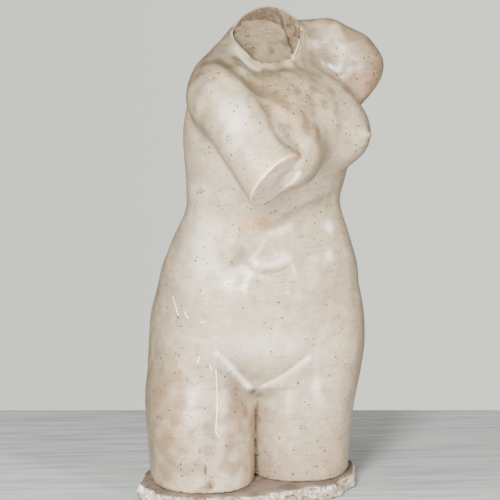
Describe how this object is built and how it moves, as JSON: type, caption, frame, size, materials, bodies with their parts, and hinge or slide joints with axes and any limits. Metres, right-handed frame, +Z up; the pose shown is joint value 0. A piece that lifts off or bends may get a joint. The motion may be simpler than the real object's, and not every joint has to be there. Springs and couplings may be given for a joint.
{
  "type": "torso sculpture",
  "caption": "Cast plaster torso of a standing woman, broken at the neck and both upper arms and cut through the thighs, on a thin rough-edged plaster plinth.",
  "frame": {"origin": "on the plinth's underside, below the middle of the hips", "axes": "+Z up along the figure, -Y to the front of the hips, +X to the figure's left"},
  "size_m": [0.4178, 0.4452, 0.8096],
  "materials": {
    "plaster": "aged plaster with a soft sheen, dust in the folds and small pits",
    "plinth_plaster": "rough broken plaster, brown with dirt on top"
  },
  "bodies": {
    "root": {"torso": "plaster", "plinth": "plinth_plaster"}
  },
  "joints": []
}
